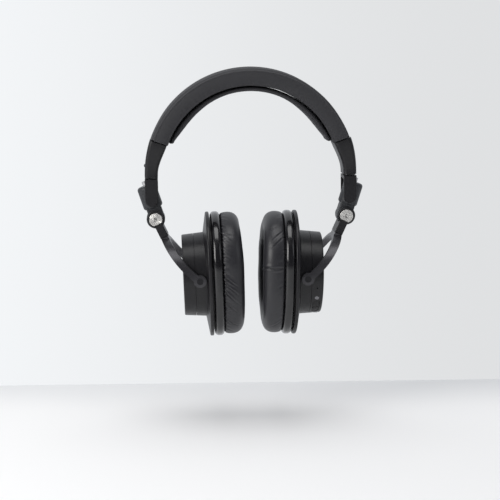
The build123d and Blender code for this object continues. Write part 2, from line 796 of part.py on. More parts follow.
with BuildPart() as baffle_screws:
    with BuildSketch(cup_plane(plate_front)):
        with GridLocations(2 * screw_reach, 2 * screw_rise, 2, 2):
            Circle(screw_radius)
    extrude(amount=screw_length)
    with BuildSketch(cup_plane(plate_front)):
        with GridLocations(2 * screw_reach, 2 * screw_rise, 2, 2):
            Circle(screw_head)
    extrude(amount=-screw_head_height)
write_pair(baffle_screws, "baffle_screws")

# The pad is a ring whose section is crowned toward the ear and drawn in at its rear seam
pad_half = pad_ring / 2
with BuildSketch(cup_plane(pad_back)) as pad_route:
    oval(pad_height, pad_width, pad_half)
pad_path = pad_route.sketch.face().outer_wire()
pad_start = Plane(pad_path @ 0, x_dir=cup_axis.cross(pad_path % 0), z_dir=pad_path % 0)
with BuildPart() as ear_pad:
    with BuildSketch(pad_start):
        with BuildLine():
            side_y = -pad_fullest * pad_thickness
            edge = Vector(pad_edge_width * pad_half, -pad_edge * pad_thickness)
            seam = Line((pad_half - pad_draw_in, 0), (pad_draw_in / 2 - pad_half, 0))
            opening = ThreePointArc(seam @ 1, (-pad_half, side_y), (-edge.X, edge.Y))
            crown = ThreePointArc(opening @ 1, (0, -pad_thickness), edge)
            ThreePointArc(crown @ 1, (pad_half, side_y), seam @ 0)
        make_face()
    sweep(path=pad_path)
write_pair(ear_pad, "ear_pad")

# ---------------------------------------------------------------- driver

cone_radius = driver_radius - driver_flange
driver_back = plate_back + driver_depth
grille_front = plate_front - grille_thickness


def cup_section(x):
    """Plane through the cup's axis: its X axis is radial, its Y axis runs outward along the axis."""
    return Plane(cup_plane(x).origin, x_dir=cup_up, z_dir=cup_up.cross(cup_axis))


with BuildPart() as driver_frame:
    with BuildSketch(cup_plane(plate_back)):
        Circle(driver_radius)
    extrude(amount=driver_depth)
    with BuildSketch(cup_plane(plate_back)):
        Circle(cone_radius)
    extrude(amount=driver_depth - grille_thickness, mode=Mode.SUBTRACT)
    with BuildSketch(cup_plane(plate_back)):
        Circle(magnet_radius)
    extrude(amount=driver_depth, mode=Mode.SUBTRACT)
write_pair(driver_frame, "driver_frame")

with BuildPart() as driver_magnet:
    with BuildSketch(cup_plane(driver_back - grille_thickness)):
        Circle(magnet_radius)
    extrude(amount=magnet_height)
write_pair(driver_magnet, "driver_magnet")

with BuildPart() as diaphragm:
    with BuildSketch(cup_section(plate_back + diaphragm_thickness)):
        with BuildLine():
            rear = RadiusArc(
                (cone_radius, 0),
                (0, -diaphragm_rise),
                (cone_radius**2 + diaphragm_rise**2) / (2 * diaphragm_rise),
            )
            middle = Line(rear @ 1, rear @ 1 - Vector(0, diaphragm_thickness))
            front = RadiusArc(
                middle @ 1,
                (cone_radius, -diaphragm_thickness),
                -(cone_radius**2 + diaphragm_rise**2) / (2 * diaphragm_rise),
            )
            Line(front @ 1, rear @ 0)
        make_face()
    revolve(axis=Axis(cup_plane(plate_back).origin, cup_axis))
write_pair(diaphragm, "diaphragm")

with BuildPart() as driver_grille:
    with BuildSketch(cup_plane(grille_front)):
        Circle(driver_radius)
        with HexLocations(grille_pitch / 2, grille_rows, grille_rows):
            Circle(grille_hole, mode=Mode.SUBTRACT)
    extrude(amount=grille_thickness)
write_pair(driver_grille, "driver_grille")

with BuildPart() as acoustic_screen:
    with BuildSketch(cup_plane(grille_front - screen_thickness)):
        oval(pad_height, pad_width, pad_ring - rim_lip)
    extrude(amount=screen_thickness)
write_pair(acoustic_screen, "acoustic_screen")

# ---------------------------------------------------------------- controls and electronics

for name, end in (("key_upper", 1), ("key_lower", -1)):
    with BuildPart() as key:
        with BuildSketch(drum_plane(control_x, slot_angle, key_flange_top)):
            SlotOverall(slot_length, slot_width, rotation=90)
            Rectangle(slot_width, key_parting, mode=Mode.SUBTRACT)
        extrude(amount=drum_radius)
        with BuildSketch(cup_plane(cover_start)):
            Circle(drum_radius_at(cover_start) - key_inset)
        with BuildSketch(cup_plane(drum_end)):
            Circle(drum_radius_at(drum_end) - key_inset)
        loft(ruled=True, mode=Mode.INTERSECT)
        with BuildSketch(drum_plane(control_x, slot_angle, key_flange_top)):
            Rectangle(slot_width, 2 * key_flange_reach)
            Rectangle(slot_width, key_parting, mode=Mode.SUBTRACT)
        extrude(amount=-key_flange)
        split(
            bisect_by=Plane(drum_plane(control_x, slot_angle).origin,
                            z_dir=drum_plane(control_x, slot_angle).y_dir),
            keep=Keep.TOP if end > 0 else Keep.BOTTOM,
        )
    write(key, name)

with BuildPart() as switch_board:
    with BuildSketch(drum_plane(control_x, slot_angle, switch_board_back)):
        Rectangle(slot_width, 2 * switch_board_reach - rib)
    extrude(amount=switch_board_thickness)
    with BuildSketch(drum_plane(control_x, slot_angle, switch_board_front)):
        with GridLocations(slot_width, slot_length / 2, 1, 2):
            Circle(switch_dome)
    extrude(amount=switch_dome_height)
write(switch_board, "switch_board")

with BuildPart() as status_light:
    with BuildSketch(drum_plane(control_x, light_angle, drum_radius_at(control_x))):
        Circle(light_radius - shaft_gap)
    extrude(amount=-light_length)
write(status_light, "status_light")

with BuildPart() as jack_socket:
    with BuildSketch(drum_plane(control_x, jack_angle, drum_radius_at(control_x))):
        Circle(jack_barrel)
        Circle(jack_bore, mode=Mode.SUBTRACT)
    extrude(amount=-jack_length)
write(jack_socket, "jack_socket")

with BuildPart() as charging_socket:
    with BuildSketch(drum_plane(control_x, charge_angle, drum_radius_at(control_x))):
        SlotOverall(charge_width, charge_height, rotation=90)
        SlotOverall(charge_width - 2 * charge_wall, charge_height - 2 * charge_wall, rotation=90,
                    mode=Mode.SUBTRACT)
    extrude(amount=-charge_length)
    with BuildSketch(drum_plane(control_x, charge_angle, drum_radius_at(control_x) - charge_length)):
        SlotOverall(charge_width, charge_height, rotation=90)
    extrude(amount=charge_wall)
    with BuildSketch(drum_plane(control_x, charge_angle, drum_radius_at(control_x) - charge_length)):
        Rectangle(charge_tongue, charge_width - 2 * charge_height)
    extrude(amount=charge_length - charge_wall)
write(charging_socket, "charging_socket")

with BuildPart() as microphone:
    with BuildSketch(drum_plane(control_x, microphone_angle, sqrt(cover_cavity**2 - microphone_radius**2))):
        Circle(microphone_radius)
    extrude(amount=-microphone_length)
write(microphone, "microphone")

with BuildPart() as circuit_board:
    with BuildSketch(cup_plane(cover_floor - board_post_height)):
        Rectangle(board_width, board_length)
    extrude(amount=-board_thickness)
write(circuit_board, "circuit_board")

with BuildPart() as battery_form:
    with BuildSketch(cup_plane(cover_floor)):
        RectangleRounded(battery_width, battery_length, battery_round)
    extrude(amount=-battery_thickness)
with BuildPart() as battery:
    mirror(battery_form.part, about=Plane.YZ)
write(battery, "battery")
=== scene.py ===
"""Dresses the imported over-ear headphones: leather, pleated pads, spun hinge discs, finishes and the stage.

Everything is in metres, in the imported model's own frame: +Z up, +X the wearer's left, -Y the front.
Soft pieces are grids of points. Each is worked out as a clean form; the cushion and the pads are then let
go in a short cloth settling. Seams, pleats and creases follow, along each piece's own surface.
"""

import json
from math import cos, pi, radians, sin, tau

import bmesh
import bpy
import numpy as np
from bpy.props import FloatProperty, FloatVectorProperty, IntProperty, PointerProperty
from bpy.types import Operator, Panel, PropertyGroup
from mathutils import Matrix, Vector


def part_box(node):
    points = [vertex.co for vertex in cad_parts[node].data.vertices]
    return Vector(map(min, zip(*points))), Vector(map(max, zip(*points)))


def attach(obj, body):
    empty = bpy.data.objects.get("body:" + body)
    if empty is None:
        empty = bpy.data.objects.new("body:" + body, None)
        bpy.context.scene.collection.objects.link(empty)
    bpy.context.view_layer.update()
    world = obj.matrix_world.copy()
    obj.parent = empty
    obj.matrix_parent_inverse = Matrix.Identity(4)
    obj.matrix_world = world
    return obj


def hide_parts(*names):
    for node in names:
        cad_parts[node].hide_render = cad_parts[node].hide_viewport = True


bl_info = {
    "name": "Over-ear headphones",
    "version": (1, 0, 0),
    "blender": (4, 5, 0),
    "location": "View3D > Sidebar > Headphones",
    "description": "Leather, pleated ear pads, finishes and a plain stage for over-ear headphones",
    "category": "Object",
}

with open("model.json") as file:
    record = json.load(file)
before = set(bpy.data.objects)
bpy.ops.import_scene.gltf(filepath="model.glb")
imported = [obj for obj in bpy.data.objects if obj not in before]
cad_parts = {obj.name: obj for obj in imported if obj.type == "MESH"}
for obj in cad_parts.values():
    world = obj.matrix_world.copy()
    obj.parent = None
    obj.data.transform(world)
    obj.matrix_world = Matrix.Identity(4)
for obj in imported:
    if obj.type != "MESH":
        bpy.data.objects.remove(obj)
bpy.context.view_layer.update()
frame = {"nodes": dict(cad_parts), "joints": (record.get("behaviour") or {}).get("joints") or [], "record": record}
MM = 0.001
SIDES = {"left": 1, "right": -1}
JOINTS = {joint["name"]: joint for joint in frame["joints"]}
TILT = Vector(JOINTS["tilt_left"]["pos_m"])
FOLD = Vector(JOINTS["fold_left"]["pos_m"])
CAMERA_ROLL = radians(0.79)


# ---------------------------------------------------------------- what a user would change


class HeadphoneSizes(PropertyGroup):
    """Sizes of the soft pieces and their seams."""

    arc_radius: FloatProperty(
        name="Headband arc", description="Radius of the cushion's inner face at its top",
        default=68.2 * MM, unit="LENGTH",
    )
    cup_lean: FloatProperty(
        name="Cup lean", description="How far the lower edge of each cup leans toward the head",
        default=radians(1.5), subtype="ANGLE",
    )
    welt: FloatProperty(
        name="Welt", description="Height of the piping between the cover's panels",
        default=0.55 * MM, unit="LENGTH",
    )
    groove: FloatProperty(
        name="Seam groove", description="Depth of a sewn seam", default=0.5 * MM, unit="LENGTH",
    )
    pad_ring: FloatProperty(
        name="Pad ring", description="Outer edge of an ear pad to its opening",
        default=20.9 * MM, unit="LENGTH",
    )
    pleat_right: FloatProperty(
        name="Right pleats", description="Depth of the pleats round the right pad's rear seam",
        default=0.85 * MM, unit="LENGTH",
    )
    pleat_left: FloatProperty(
        name="Left pleats", description="Depth of the pleats round the left pad's rear seam",
        default=0.28 * MM, unit="LENGTH",
    )
    pleat_pitch: FloatProperty(
        name="Pleat pitch", description="Usual distance between two pleats",
        default=2.3 * MM, unit="LENGTH",
    )
    settle_frames: IntProperty(
        name="Settling", description="Steps of cloth settling for the cushion and each pad",
        default=20, min=1,
    )


class HeadphoneColours(PropertyGroup):
    """Colours of the finishes that are set here; the others come from the record's slots."""

    leather: FloatVectorProperty(
        name="Headband leather", description="Matte leather of the headband cover",
        default=(0.0105, 0.0098, 0.0130), subtype="COLOR",
    )
    pads: FloatVectorProperty(
        name="Pad leather", description="Smoother leather of the ear pads",
        default=(0.0085, 0.0080, 0.0100), subtype="COLOR",
    )
    plastic: FloatVectorProperty(
        name="Black plastic", description="Moulded plastic of the caps, housings and drums",
        default=(0.0090, 0.0088, 0.0105), subtype="COLOR",
    )
    hinge: FloatVectorProperty(
        name="Hinge plastic", description="Greyer moulded plastic of the swivel barrels",
        default=(0.030, 0.032, 0.036), subtype="COLOR",
    )
    yoke: FloatVectorProperty(
        name="Yoke", description="Satin lacquer of the yokes", default=(0.050, 0.049, 0.054),
        subtype="COLOR",
    )
    silver: FloatVectorProperty(
        name="Disc", description="Bare spun metal of the hinge discs", default=(0.80, 0.79, 0.76),
        subtype="COLOR",
    )
    floor: FloatVectorProperty(
        name="Floor", description="Plain pale floor", default=(0.93, 0.93, 0.93), subtype="COLOR",
    )
    backdrop: FloatVectorProperty(
        name="Backdrop", description="Plain pale wall behind", default=(0.80, 0.81, 0.82),
        subtype="COLOR",
    )


def sizes():
    return bpy.context.scene.headphone_sizes


def colours():
    return bpy.context.scene.headphone_colours


# ---------------------------------------------------------------- shader expressions


class Signal:
    """A shader value that is added, multiplied and compared as a number is."""

    def __init__(self, finish, socket):
        self.finish = finish
        self.socket = socket

    def maths(self, operation, *values):
        return self.finish.node("ShaderNodeMath", {"operation": operation}, dict(enumerate(values)))

    def __add__(self, other):
        return self.maths("ADD", self, other)

    __radd__ = __add__

    def __sub__(self, other):
        return self.maths("SUBTRACT", self, other)

    def __rsub__(self, other):
        return self.maths("SUBTRACT", other, self)

    def __mul__(self, other):
        return self.maths("MULTIPLY", self, other)

    __rmul__ = __mul__

    def sine(self):
        return self.maths("SINE", self)

    def between(self, low, high):
        """0 below low, 1 above high, and smooth between them."""
        return self.finish.node(
            "ShaderNodeMapRange", {"interpolation_type": "SMOOTHSTEP"},
            {"Value": self, "From Min": low, "From Max": high},
        )


class Nodes:
    """A node tree that expressions are written into."""

    def __init__(self, tree):
        self.tree = tree

    def node(self, kind, settings=None, values=None, output=0):
        """Add a node, set it up, fill or link its sockets, and return one of its outputs."""
        made = self.tree.nodes.new(kind)
        for name, value in (settings or {}).items():
            setattr(made, name, value)
        for name, value in (values or {}).items():
            if isinstance(value, Signal):
                self.tree.links.new(value.socket, made.inputs[name])
            else:
                made.inputs[name].default_value = value
        return Signal(self, made.outputs[output])

    def tint(self, amount, low, high):
        """Colour from low to high as amount goes from 0 to 1."""
        return self.node(
            "ShaderNodeMix", {"data_type": "RGBA"},
            {0: amount, 6: (*low, 1), 7: (*high, 1)}, output=2,
        )


class Finish(Nodes):
    """A material in the making, with one Principled shader."""

    def __init__(self, name, **uniform):
        self.material = bpy.data.materials.new(name)
        self.material.use_nodes = True
        super().__init__(self.material.node_tree)
        self.shader = self.tree.nodes["Principled BSDF"]
        for socket, value in uniform.items():
            self.shader.inputs[socket.replace("_", " ")].default_value = value

    def place(self, scale, stretch=(1, 1, 1), shift=(0, 0, 0)):
        """The point on the object in millimetres, divided by scale and stretched."""
        point = self.node("ShaderNodeTexCoord", output="Object")
        return self.node(
            "ShaderNodeMapping", {},
            {"Vector": point, "Scale": [s / (scale * MM) for s in stretch], "Location": shift},
        )

    def noise(self, size, detail=2.0, roughness=0.5, stretch=(1, 1, 1), shift=(0, 0, 0)):
        """Cloudy noise whose clouds are about size millimetres across."""
        return self.node(
            "ShaderNodeTexNoise", {},
            {"Vector": self.place(size, stretch, shift), "Scale": 1.0,
             "Detail": detail, "Roughness": roughness},
        )

    def cells(self, size, warp=0.0):
        """Distance inside cells about size millimetres across, with wandering walls."""
        point = self.place(size)
        if warp:
            wander = self.node(
                "ShaderNodeTexNoise", {}, {"Vector": point, "Scale": 0.9, "Detail": 2.0}, output="Color"
            )
            point = self.node(
                "ShaderNodeMix", {"data_type": "VECTOR"},
                {"Factor": warp, 4: point, 5: self.node(
                    "ShaderNodeVectorMath", {"operation": "ADD"}, {0: point, 1: wander})},
                output=1,
            )
        return self.node("ShaderNodeTexVoronoi", {"feature": "F1"}, {"Vector": point, "Scale": 1.0})

    def relief(self, height, depth, strength):
        """Bump of that depth in millimetres, on top of any bump there is."""
        values = {"Height": height, "Distance": depth * MM, "Strength": strength}
        if self.shader.inputs["Normal"].is_linked:
            values["Normal"] = Signal(self, self.shader.inputs["Normal"].links[0].from_socket)
        self.set("Normal", self.node("ShaderNodeBump", {}, values))

    def set(self, socket, value):
        """Link a signal that varies over the surface to one of the shader's sockets."""
        self.tree.links.new(value.socket, self.shader.inputs[socket])


def lighter(colour, factor):
    """A colour scaled in brightness."""
    return tuple(min(1.0, c * factor) for c in colour)


# ---------------------------------------------------------------- finishes


def leather(name, colour, grain, roughness, coat, scuff):
    """Fine-grained black leather with pores, soft creases, worn highs and faint scuffs."""
    finish = Finish(name, Coat_Roughness=0.38, Specular_IOR_Level=0.38)
    pebbles = finish.cells(grain, warp=0.6).between(0.05, 0.75)
    pores = finish.noise(grain * 0.35, detail=3.0)
    creases = finish.noise(grain * 9, detail=4.0, roughness=0.6)
    clouds = finish.noise(grain * 26, detail=2.0, shift=(3, 7, 1))
    rubbed = finish.noise(grain * 13, detail=5.0, roughness=0.65, shift=(9, 2, 4)).between(0.60, 0.78)
    worn = (clouds.between(0.35, 0.7) * 0.55 + (1 - pebbles) * 0.25 + rubbed * scuff).between(0.0, 1.1)
    finish.set("Base Color", finish.tint(worn, lighter(colour, 0.72), lighter(colour, 2.3)))
    finish.set("Roughness", roughness + 0.10 * (clouds - 0.5) + 0.10 * pebbles + 0.10 * rubbed)
    finish.shader.inputs["Coat Weight"].default_value = coat
    finish.relief(creases, 0.22, 0.5)
    finish.relief(1 - pebbles, 0.055, 0.55)
    finish.relief(pores, 0.02, 0.35)
    return finish.material


def moulded(name, colour, roughness, texture, coat=0.0, metallic=0.0):
    """Moulded or lacquered black surface: fine spark texture, faint flow clouds and handling marks."""
    finish = Finish(
        name, Coat_Weight=coat, Coat_Roughness=0.12, Metallic=metallic, Specular_IOR_Level=0.38
    )
    spark = finish.noise(0.28, detail=2.0)
    clouds = finish.noise(14, detail=3.0)
    smudges = finish.noise(5, detail=4.0, roughness=0.7, shift=(5, 1, 8)).between(0.5, 0.75)
    dust = finish.cells(2.6).between(0.05, 0.08)
    finish.set(
        "Base Color",
        finish.tint(clouds * 0.7 + (1 - dust) * 0.22, lighter(colour, 0.85), lighter(colour, 1.45)),
    )
    finish.set("Roughness", roughness + 0.06 * (clouds - 0.5) + 0.07 * smudges)
    finish.relief(spark, texture, 0.6)
    return finish.material


def gloss(name, colour, roughness=0.16):
    """Polished black plastic with a faint orange peel and fingerprints' haze."""
    finish = Finish(name, Coat_Weight=0.35, Coat_Roughness=0.08)
    peel = finish.noise(3.2, detail=1.0)
    haze = finish.noise(9, detail=4.0, roughness=0.62).between(0.45, 0.75)
    finish.set("Base Color", finish.tint(haze, colour, lighter(colour, 1.5)))
    finish.set("Roughness", roughness + 0.14 * haze)
    finish.relief(peel, 0.03, 0.25)
    return finish.material


def brushed(name, colour, roughness, stretch, metallic=1.0):
    """Brushed metal whose strokes run along the axis that stretch shortens."""
    finish = Finish(name, Metallic=metallic)
    strokes = finish.noise(0.5, detail=3.0, stretch=stretch)
    clouds = finish.noise(6, detail=2.0)
    finish.set("Base Color", finish.tint(strokes, lighter(colour, 0.75), lighter(colour, 1.1)))
    finish.set("Roughness", roughness + 0.14 * strokes + 0.05 * clouds)
    finish.relief(strokes, 0.012, 0.5)
    return finish.material


def spun(name, colour, centre, pitch):
    """Turned face: fine rings round the fold axis, so that light gathers in cones."""
    finish = Finish(name, Metallic=1.0)
    point = finish.node("ShaderNodeTexCoord", output="Object")
    offset = finish.node("ShaderNodeVectorMath", {"operation": "SUBTRACT"}, {0: point, 1: centre})
    flat = finish.node("ShaderNodeVectorMath", {"operation": "MULTIPLY"}, {0: offset, 1: (1, 0, 1)})
    reach = finish.node("ShaderNodeVectorMath", {"operation": "LENGTH"}, {0: flat}, output="Value")
    wander = finish.noise(0.9, detail=2.0)
    rings = ((reach * (tau / (pitch * MM)) + wander * 1.5).sine() + 1) * 0.5
    finish.set("Base Color", finish.tint(rings * 0.6 + wander * 0.4, lighter(colour, 0.82), colour))
    finish.set("Roughness", 0.22 + 0.08 * wander)
    finish.relief(rings, 0.05, 0.8)
    return finish.material


def woven(name, colour, pitch):
    """Thin knitted cloth of crossing threads."""
    finish = Finish(name, Roughness=0.85, Sheen_Weight=0.3)
    point = finish.place(pitch)
    axes = [finish.node("ShaderNodeSeparateXYZ", {}, {0: point}, output=n) for n in (1, 2)]
    warp, weft = [(axis * tau).sine() * 0.5 + 0.5 for axis in axes]
    weave = warp * weft
    finish.set("Base Color", finish.tint(weave, lighter(colour, 0.3), lighter(colour, 2.0)))
    finish.relief(weave, 0.12, 0.8)
    return finish.material


def board(name, colour):
    """Circuit board: lacquer over faint copper runs."""
    finish = Finish(name, Coat_Weight=0.4)
    runs = finish.noise(1.2, detail=0.0, stretch=(1, 0.1, 1)).between(0.5, 0.52)
    finish.set("Base Color", finish.tint(runs, colour, lighter(colour, 1.8)))
    finish.set("Roughness", 0.35 + 0.15 * runs)
    finish.relief(runs, 0.03, 0.5)
    return finish.material


def lens(name, colour):
    """Smoky light guide, paler in soft clouds."""
    finish = Finish(name, Coat_Weight=0.5)
    cloud = finish.noise(1.1, detail=2.0)
    finish.set("Base Color", finish.tint(cloud, colour, lighter(colour, 2.2)))
    finish.set("Roughness", 0.12 + 0.1 * cloud)
    return finish.material


def build_finishes():
    """One material for each of the record's slots."""
    c = colours()
    slots = {m["slot"]: tuple(m["base_color"]) for m in frame["record"]["materials"]}
    made = {
        "headband_leather": leather("headband_leather", c.leather, 0.75, 0.50, 0.10, 0.9),
        "cushion_leather": leather("cushion_leather", lighter(c.leather, 0.8), 0.7, 0.55, 0.05, 0.3),
        "pad_leather": leather("pad_leather", c.pads, 0.62, 0.36, 0.22, 0.35),
        "frame_plastic": moulded("frame_plastic", c.plastic, 0.42, 0.03),
        "hinge_plastic": moulded("hinge_plastic", c.hinge, 0.46, 0.035),
        "drum_plastic": moulded("drum_plastic", c.plastic, 0.36, 0.025),
        "rim_plastic": gloss("rim_plastic", lighter(c.plastic, 0.7)),
        "yoke_metal": moulded("yoke_metal", c.yoke, 0.36, 0.02, coat=0.15, metallic=0.55),
        "steel": brushed("steel", slots["steel"], 0.28, (1, 1, 0.06)),
        "black_metal": moulded("black_metal", lighter(c.plastic, 1.4), 0.40, 0.02, metallic=0.3),
        "screen_cloth": woven("screen_cloth", slots["screen_cloth"], 0.8),
        "magnet": brushed("magnet", slots["magnet"], 0.45, (1, 0.2, 0.2)),
        "film": gloss("film", slots["film"], 0.28),
        "key_rubber": moulded("key_rubber", lighter(c.plastic, 0.55), 0.55, 0.04),
        "light_lens": lens("light_lens", slots["light_lens"]),
        "socket_plastic": moulded("socket_plastic", lighter(c.plastic, 0.45), 0.5, 0.02),
        "board": board("board", slots["board"]),
        "battery_wrap": brushed("battery_wrap", slots["battery_wrap"], 0.4, (1, 1, 0.3), metallic=0.4),
    }
    for side, sign in SIDES.items():
        centre = (sign * FOLD.x, FOLD.y, FOLD.z)
        made[f"silver_{side}"] = spun(f"silver_{side}", c.silver, centre, 0.22)
    return made


def finish_named(slot):
    """A finish that the headphones already have."""
    return bpy.data.materials[slot]


def paint(piece, material):
    piece.data.materials.clear()
    piece.data.materials.append(material)


# ---------------------------------------------------------------- grids of points


def grid_mesh(name, points, round_trip):
    """Smooth mesh from rings of points. The rings join end to end, or each end closes to a point."""
    rings, count = points.shape[:2]
    vertices = points.reshape(-1, 3)
    spans = rings if round_trip else rings - 1
    ring, step = np.meshgrid(np.arange(spans), np.arange(count), indexing="ij")

    def corner(i, j):
        return (i % rings) * count + j % count

    faces = np.stack(
        [corner(ring, step), corner(ring + 1, step), corner(ring + 1, step + 1), corner(ring, step + 1)], -1
    ).reshape(-1, 4).tolist()
    if not round_trip:
        tips = np.stack([points[0].mean(0), points[-1].mean(0)])
        vertices = np.concatenate([vertices, tips])
        first, last = rings * count, rings * count + 1
        faces += [(first, j, (j + 1) % count) for j in range(count)]
        base = (rings - 1) * count
        faces += [(last, base + (j + 1) % count, base + j) for j in range(count)]
    mesh = bpy.data.meshes.new(name)
    mesh.from_pydata(vertices.tolist(), [], faces)
    shell = bmesh.new()
    shell.from_mesh(mesh)
    bmesh.ops.recalc_face_normals(shell, faces=shell.faces)
    shell.to_mesh(mesh)
    shell.free()
    mesh.polygons.foreach_set("use_smooth", [True] * len(mesh.polygons))
    piece = bpy.data.objects.new(name, mesh)
    bpy.context.scene.collection.objects.link(piece)
    return piece


def slope(points, axis, wraps):
    """Change of the points along one side of the grid."""
    if wraps:
        return np.roll(points, -1, axis) - np.roll(points, 1, axis)
    return np.gradient(points, axis=axis)


def raise_surface(points, height, round_trip, outward):
    """Push each point of a grid along its surface's normal by a height."""
    normal = np.cross(slope(points, 0, round_trip), slope(points, 1, True))
    normal /= np.maximum(np.linalg.norm(normal, axis=-1, keepdims=True), 1e-12)
    return points + outward * normal * height[..., None]


def refine(points, rings, count, round_trip):
    """The same surface on a finer grid, by smooth curves through its points."""
    for axis, wanted, wraps in ((0, rings, round_trip), (1, count, True)):
        points = np.moveaxis(points, axis, 0)
        had = len(points)
        at = np.arange(wanted) * had / wanted if wraps else np.linspace(0, had - 1, wanted)
        low = np.floor(at).astype(int)
        t = (at - low).reshape(-1, *[1] * (points.ndim - 1))
        near = [(low + k) % had if wraps else np.clip(low + k, 0, had - 1) for k in (-1, 0, 1, 2)]
        a, b, c, d = (points[n] for n in near)
        points = b + 0.5 * t * (c - a + t * (2 * a - 5 * b + 4 * c - d + t * (3 * (b - c) + d - a)))
        points = np.moveaxis(points, 0, axis)
    return points


def along(points):
    """Distance along a closed line of points, from its first, and its whole length."""
    gaps = np.linalg.norm(np.roll(points, -1, 0) - points, axis=-1)
    return np.concatenate([[0], np.cumsum(gaps)[:-1]]), gaps.sum()


def even(points, count):
    """A closed line's points, spaced evenly."""
    at, length = along(points)
    wanted = np.arange(count) * length / count
    closed = np.concatenate([points, points[:1]])
    at = np.append(at, length)
    return np.stack([np.interp(wanted, at, closed[:, n]) for n in range(points.shape[1])], -1)


def bell(x, width):
    return np.exp(-((x / width) ** 2))


def waves(rng, count, lowest, highest):
    """Smooth wandering round a closed line, at most 1 either way."""
    t = np.arange(count) / count
    total = np.zeros(count)
    for turns in range(lowest, highest + 1):
        total += rng.normal() * np.cos(tau * turns * t + rng.uniform(0, tau)) / np.sqrt(turns)
    return total / max(np.abs(total).max(), 1e-9)


def settle(points, held, round_trip, pressure, cap):
    """Let a grid go as cloth round its filling: held points stay, the rest move by at most cap."""
    piece = grid_mesh("settling", points, round_trip)
    group = piece.vertex_groups.new(name="held")
    flat = held.reshape(-1)
    group.add([int(n) for n in np.nonzero(flat > 0)[0]], 1.0, "REPLACE")
    cloth = piece.modifiers.new("cloth", "CLOTH")
    cloth.settings.vertex_group_mass = "held"
    cloth.settings.quality = 4
    cloth.settings.mass = 0.15
    cloth.settings.tension_stiffness = 12
    cloth.settings.compression_stiffness = 12
    cloth.settings.bending_stiffness = 0.4
    cloth.settings.use_pressure = True
    cloth.settings.uniform_pressure_force = pressure
    cloth.settings.effector_weights.gravity = 0
    cloth.collision_settings.use_collision = False
    scene = bpy.context.scene
    for step in range(1, sizes().settle_frames + 1):
        scene.frame_set(step)
    shaped = piece.evaluated_get(bpy.context.evaluated_depsgraph_get()).data
    moved = np.array([v.co for v in shaped.vertices])[: flat.size].reshape(points.shape)
    scene.frame_set(1)
    mesh = piece.data
    bpy.data.objects.remove(piece)
    bpy.data.meshes.remove(mesh)
    shift = moved - points
    reach = np.linalg.norm(shift, axis=-1, keepdims=True)
    return points + shift * np.minimum(1, cap / np.maximum(reach, 1e-9))


# ---------------------------------------------------------------- headband


def band_extent(node):
    """Lowest and highest radius, angle and y of a node, about the headband's arc centre."""
    points = np.array([v.co for v in frame["nodes"][node].data.vertices])
    rise = points[:, 2] + sizes().arc_radius
    radius = np.hypot(points[:, 0], rise)
    angle = np.arctan2(rise, points[:, 0])
    return [(part.min(), part.max()) for part in (radius, angle, points[:, 1])]


def band_point(angle, radius, y):
    """Points round the headband's arc; angle, radius and y are arrays of one shape."""
    return np.stack([radius * np.cos(angle), y, radius * np.sin(angle) - sizes().arc_radius], -1)


def closed_ends(rings, start, end, rounding):
    """Angles of the rings, and how full each ring is: both ends round over and close."""
    turn = np.linspace(0, pi / 2, 8)[:-1]
    easing = [(1 - cos(a), sin(a)) for a in turn]
    steps = np.linspace(start + rounding, end - rounding, rings)
    angles = [start + rounding * e[0] for e in easing] + list(steps)
    angles += [end - rounding * e[0] for e in reversed(easing)]
    full = [e[1] for e in easing] + [1.0] * rings + [e[1] for e in reversed(easing)]
    return np.array(angles), np.array(full)


def cover_section(inner, outer, half, count):
    """The sleeve's section: crowned outside, swelling sides; radius and y, anticlockwise."""
    crown, swell, corner = 2.0 * MM, 1.2 * MM, 2.2 * MM
    edge = half - swell
    middle = (inner + outer) / 2
    t = np.linspace(0, 1, 40, endpoint=False)
    top = [(outer - crown * (2 * s - 1) ** 2, edge * (2 * s - 1)) for s in t]
    side = [
        (outer - crown - (outer - crown - inner) * s, edge + swell * (1 - (2 * s - 1) ** 2)) for s in t
    ]
    base = [(inner, edge * (1 - 2 * s)) for s in t]
    back = [(r, -y) for r, y in reversed(side)]
    line = even(np.array(top + side + base + back), 6 * count)
    spread = int(round(corner / (along(line)[1] / len(line))))
    kernel = np.hanning(2 * spread + 1)
    kernel /= kernel.sum()
    tail = np.concatenate([line[-spread:], line, line[:spread]])
    soft = np.stack([np.convolve(tail[:, n], kernel, "valid") for n in (0, 1)], -1)
    return even(soft, count), middle


